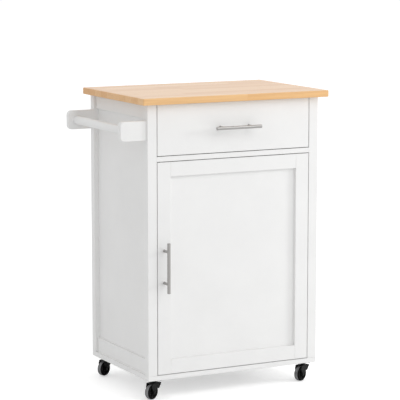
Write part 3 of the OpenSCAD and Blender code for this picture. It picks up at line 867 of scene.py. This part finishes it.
def screw_set(node, height, direction):
    """Heads for a node's separate screws, each at the end of its shank that faces the direction."""
    way = Vector(direction)
    side = 0 if way.x == 0.0 else 1
    bm = cad_shape(node)
    bm.verts.ensure_lookup_table()
    heads = []
    while bm.verts:
        island, stack = set(), [bm.verts[0]]
        while stack:
            vert = stack.pop()
            if vert not in island:
                island.add(vert)
                stack.extend(edge.other_vert(vert) for edge in vert.link_edges)
        spans = [(min(line), max(line)) for line in zip(*(vert.co for vert in island))]
        centre = Vector([(low + high) / 2 for low, high in spans])
        crown = max(vert.co.dot(way) for vert in island)
        at = centre + way * (crown - height - centre.dot(way))
        heads.append((tuple(at), (spans[side][1] - spans[side][0]) / 2))
        bmesh.ops.delete(bm, geom=list(island), context="VERTS")
        bm.verts.ensure_lookup_table()
    for at, radius in sorted(heads):
        screw_head(bm, at, direction, radius, height)
    add_piece(node.replace("_", "-") + "-set", bm, node)


def along_axis(node, origin, axis):
    """The lowest and highest reach of a node's points along an axis through an origin."""
    line = [(vert.co - origin).dot(axis) for vert in frame["nodes"][node].data.vertices]
    return min(line), max(line)


def wheel_outline(radius, half, hub_half, bore, hub, web, rim):
    """The closed outline of a wheel's section: hub, web, beaded rim and rounded tread."""
    shoulder, steps = 5 * MM, 8
    side = [(bore, hub_half), (hub, hub_half), (hub + 0.5 * MM, hub_half - 0.5 * MM), (hub + 1.0 * MM, web)]
    side += [(rim - 1.0 * MM, web), (rim, half - 0.9 * MM), (rim + 0.6 * MM, half - 0.5 * MM)]
    side += [(rim + 1.2 * MM, half - 0.5 * MM), (rim + 1.5 * MM, half - 0.9 * MM)]
    side.append((rim + 1.8 * MM, half - 0.2 * MM))
    for k in range(steps + 1):
        a = math.pi / 2 * k / steps
        side.append((radius - shoulder + shoulder * math.sin(a), half - shoulder + shoulder * math.cos(a)))
    return side + [(r, -h) for r, h in reversed(side)] + [side[0]]


def make_wheel(corner):
    """A wheel with a moulded tread, a rim, ribs and a hub; the middle band of the tread is painted grey as a
    highlight on the black rubber.
    """
    node = "caster_wheel_" + corner
    spin = JOINTS["spin_" + corner]
    centre, axle = Vector(spin["pos_m"]), Vector(spin["axis"]).normalized()
    low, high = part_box(node)
    radius = (high.z - low.z) / 2
    hub_half = along_axis(node, centre, axle)[1]
    half = hub_half - 0.7 * MM
    bore, hub, web, rim = 3.05 * MM, 6.6 * MM, half - 3.0 * MM, radius * 0.70
    bm = bmesh.new()
    place = to_axis(axle, centre)
    turned(bm, wheel_outline(radius, half, hub_half, bore, hub, web, rim), place, 96)
    # Faces in the tread's middle band keep the grey slot, which is a painted highlight; all other faces take the
    # black centre.
    tread_depth, painted_highlight_half = 0.4 * MM, half - 4.0 * MM
    for face in bm.faces:
        offset = face.calc_center_median() - centre
        out = (offset - axle * offset.dot(axle)).length
        if out < radius - tread_depth or abs(offset.dot(axle)) > painted_highlight_half:
            face.material_index = 1
    count = sizes().wheel_ribs
    rib_gap, rib_width, rib_height = 0.5 * MM, 1.9 * MM, 2.4 * MM
    length = rim - hub - 2 * rib_gap
    for sign in (-1, 1):
        for k in range(count):
            turn = Matrix.Rotation(2 * math.pi * (k + 0.5) / count, 4, "Z")
            shape = Matrix.Translation((hub + rib_gap + length / 2, 0, sign * (web + 0.9 * MM)))
            shape = shape @ Matrix.Diagonal((length, rib_width, rib_height, 1.0))
            made = bmesh.ops.create_cube(bm, size=1.0, matrix=place @ turn @ shape)
            for face in {face for vert in made["verts"] for face in vert.link_faces}:
                face.material_index = 1
            round_bar_edges(bm, made["verts"], 0.5 * MM)
    piece = add_piece("caster-wheel-" + corner.replace("_", "-"), bm, node)
    piece.data.materials.append(finish("wheel_centre"))


def make_pedal(side):
    """A brake pedal with a ribbed tread on its top."""
    node = "brake_pedal_" + side
    bm = cad_shape(node)
    ease(bm, 0.7 * MM, 3, shortest=3 * MM)
    hinge = JOINTS["brake_" + side]
    pin, axis = Vector(hinge["pos_m"]), Vector(hinge["axis"]).normalized()
    out = Vector((axis.y, -axis.x, 0.0))
    if out.x < 0:
        out = -out
    low, high = along_axis(node, pin, axis)
    reach = along_axis(node, pin, out)[1]
    first_in, pitch, thick, side_in = 4.0 * MM, 2.6 * MM, 0.9 * MM, 2.0 * MM
    for k in range(3):
        surface = pedal_top(node, pin + out * (reach - first_in - pitch * k), out)
        shape = to_axis(axis, surface) @ Matrix.Diagonal((thick, thick, high - low - 2 * side_in, 1.0))
        made = bmesh.ops.create_cube(bm, size=1.0, matrix=shape)
        round_bar_edges(bm, made["verts"], 0.3 * MM)
    add_piece("brake-pedal-" + side, bm, node)


def pedal_top(node, at, out):
    """The point of the pedal's top surface over a point."""
    piece = frame["nodes"][node]
    reach, above = 6 * MM, 20 * MM
    near = (vert.co.z for vert in piece.data.vertices if abs((vert.co - at).dot(out)) < reach)
    best = max(near, default=at.z)
    hit, place = piece.ray_cast((at.x, at.y, best + above), (0, 0, -1))[:2]
    return Vector(place) if hit else Vector((at.x, at.y, best))


def make_casters():
    for corner in CORNERS:
        dashed = corner.replace("_", "-")
        bm = cad_shape("caster_fork_" + corner)
        ease(bm, 0.55 * MM, 3, shortest=2.4 * MM)
        add_piece("caster-fork-" + dashed, bm, "caster_fork_" + corner)
        bm = cad_shape("caster_plate_" + corner)
        ease(bm, 0.4 * MM, 2, shortest=2.4 * MM)
        add_piece("caster-plate-" + dashed, bm, "caster_plate_" + corner)
        make_wheel(corner)
    for side in ("left", "right"):
        make_pedal(side)


# ---------- stage ----------


def lamp(name, place, target, power, side):
    """A soft square lamp that faces a target."""
    data = bpy.data.lights.new(name, "AREA")
    data.shape, data.size, data.energy = "SQUARE", side, power
    made = bpy.data.objects.new(name, data)
    bpy.context.scene.collection.objects.link(made)
    made.location = place
    made.rotation_euler = (Vector(target) - Vector(place)).to_track_quat("-Z", "Y").to_euler()


def make_stage():
    stage = bpy.context.scene.cart_stage
    floor_half, white_seen = 14.0, 1.02
    bm = bmesh.new()
    bmesh.ops.create_grid(bm, x_segments=8, y_segments=8, size=floor_half)
    mesh = bpy.data.meshes.new("stage-floor")
    bm.to_mesh(mesh)
    bm.free()
    floor = bpy.data.objects.new("stage-floor", mesh)
    bpy.context.scene.collection.objects.link(floor)
    mesh.materials.append(floor_finish())
    world = bpy.data.worlds.new("even-surround")
    world.use_nodes = True
    tree = world.node_tree
    back = tree.nodes["Background"]
    back.inputs["Color"].default_value = (1.0, 1.0, 1.0, 1.0)
    path = tree.nodes.new("ShaderNodeLightPath").outputs
    seen = calc(tree, "MAXIMUM", path["Is Camera Ray"], path["Is Glossy Ray"])
    tree.links.new(remap(tree, seen, 0.0, 1.0, stage.sky, white_seen), back.inputs["Strength"])
    bpy.context.scene.world = world
    centre = (CAD_BOX[0] + CAD_BOX[1]) / 2
    lamp("key-lamp", (3.76, -1.6, 1.5), centre, stage.key, 0.8)
    lamp("front-lamp", (1.6, -2.9, 3.1), centre, stage.front, 2.0)
    data = bpy.data.cameras.new("cart-camera")
    data.lens = stage.lens
    data.sensor_width = 36.0
    data.clip_end = 100.0
    camera = bpy.data.objects.new("cart-camera", data)
    bpy.context.scene.collection.objects.link(camera)
    camera.location = stage.camera_place
    camera.rotation_euler = (math.pi / 2 - stage.camera_tilt, 0.0, stage.camera_turn)
    bpy.context.scene.camera = camera
    bpy.context.scene.view_settings.view_transform = "Standard"


# ---------- operators and panel ----------


class CART_OT_stage(bpy.types.Operator):
    """Lays the floor and sets the lamps and the camera"""

    bl_idname = "cart.stage"
    bl_label = "Stage"

    def execute(self, context):
        make_stage()
        return {"FINISHED"}


class CART_OT_worktop(bpy.types.Operator):
    """Makes the worktop of glued staves"""

    bl_idname = "cart.worktop"
    bl_label = "Worktop"

    def execute(self, context):
        make_worktop()
        return {"FINISHED"}


class CART_OT_frame(bpy.types.Operator):
    """Makes the posts, rails and base board"""

    bl_idname = "cart.frame"
    bl_label = "Cabinet frame"

    def execute(self, context):
        make_frame()
        return {"FINISHED"}


class CART_OT_boards(bpy.types.Operator):
    """Makes the panels, the shelf and the drawer box"""

    bl_idname = "cart.boards"
    bl_label = "Boards"

    def execute(self, context):
        make_boards()
        return {"FINISHED"}


class CART_OT_fronts(bpy.types.Operator):
    """Makes the drawer front and the door frame"""

    bl_idname = "cart.fronts"
    bl_label = "Fronts"

    def execute(self, context):
        make_fronts()
        return {"FINISHED"}


class CART_OT_towel_rail(bpy.types.Operator):
    """Makes the arms and the bar"""

    bl_idname = "cart.towel_rail"
    bl_label = "Towel rail"

    def execute(self, context):
        make_towel_rail()
        return {"FINISHED"}


class CART_OT_handles(bpy.types.Operator):
    """Makes the two bar handles"""

    bl_idname = "cart.handles"
    bl_label = "Handles"

    def execute(self, context):
        make_handles()
        return {"FINISHED"}


class CART_OT_slides(bpy.types.Operator):
    """Makes the slide channels and runners"""

    bl_idname = "cart.slides"
    bl_label = "Drawer slides"

    def execute(self, context):
        make_slides()
        return {"FINISHED"}


class CART_OT_hinges(bpy.types.Operator):
    """Makes the hinges and the magnetic catch"""

    bl_idname = "cart.hinges"
    bl_label = "Hinges"

    def execute(self, context):
        make_hinges()
        return {"FINISHED"}


class CART_OT_screws(bpy.types.Operator):
    """Makes the screws and shelf pins"""

    bl_idname = "cart.screws"
    bl_label = "Screws"

    def execute(self, context):
        make_screws()
        return {"FINISHED"}


class CART_OT_casters(bpy.types.Operator):
    """Makes the four casters and the brake pedals"""

    bl_idname = "cart.casters"
    bl_label = "Casters"

    def execute(self, context):
        make_casters()
        return {"FINISHED"}


OPERATORS = [
    CART_OT_stage,
    CART_OT_worktop,
    CART_OT_frame,
    CART_OT_boards,
    CART_OT_fronts,
    CART_OT_towel_rail,
    CART_OT_handles,
    CART_OT_slides,
    CART_OT_hinges,
    CART_OT_screws,
    CART_OT_casters,
]


class CART_PT_pieces(bpy.types.Panel):
    """Lists the cart's sizes, colours and making steps."""

    bl_idname = "CART_PT_pieces"
    bl_label = "Kitchen island cart"
    bl_space_type = "VIEW_3D"
    bl_region_type = "UI"
    bl_category = "Cart"

    def draw(self, context):
        layout = self.layout
        for group in (context.scene.cart_sizes, context.scene.cart_colours, context.scene.cart_stage):
            box = layout.box()
            for name in group.__annotations__:
                box.prop(group, name)
        for made in OPERATORS:
            layout.operator(made.bl_idname)


CLASSES = [CartSizes, CartColours, CartStage, *OPERATORS, CART_PT_pieces]


def register():
    for made in CLASSES:
        bpy.utils.register_class(made)
    bpy.types.Scene.cart_sizes = PointerProperty(type=CartSizes)
    bpy.types.Scene.cart_colours = PointerProperty(type=CartColours)
    bpy.types.Scene.cart_stage = PointerProperty(type=CartStage)


def unregister():
    del bpy.types.Scene.cart_stage
    del bpy.types.Scene.cart_colours
    del bpy.types.Scene.cart_sizes
    for made in reversed(CLASSES):
        bpy.utils.unregister_class(made)


def main():
    register()
    for made in OPERATORS:
        group, name = made.bl_idname.split(".")
        getattr(getattr(bpy.ops, group), name)()


if __name__ == "__main__":
    main()
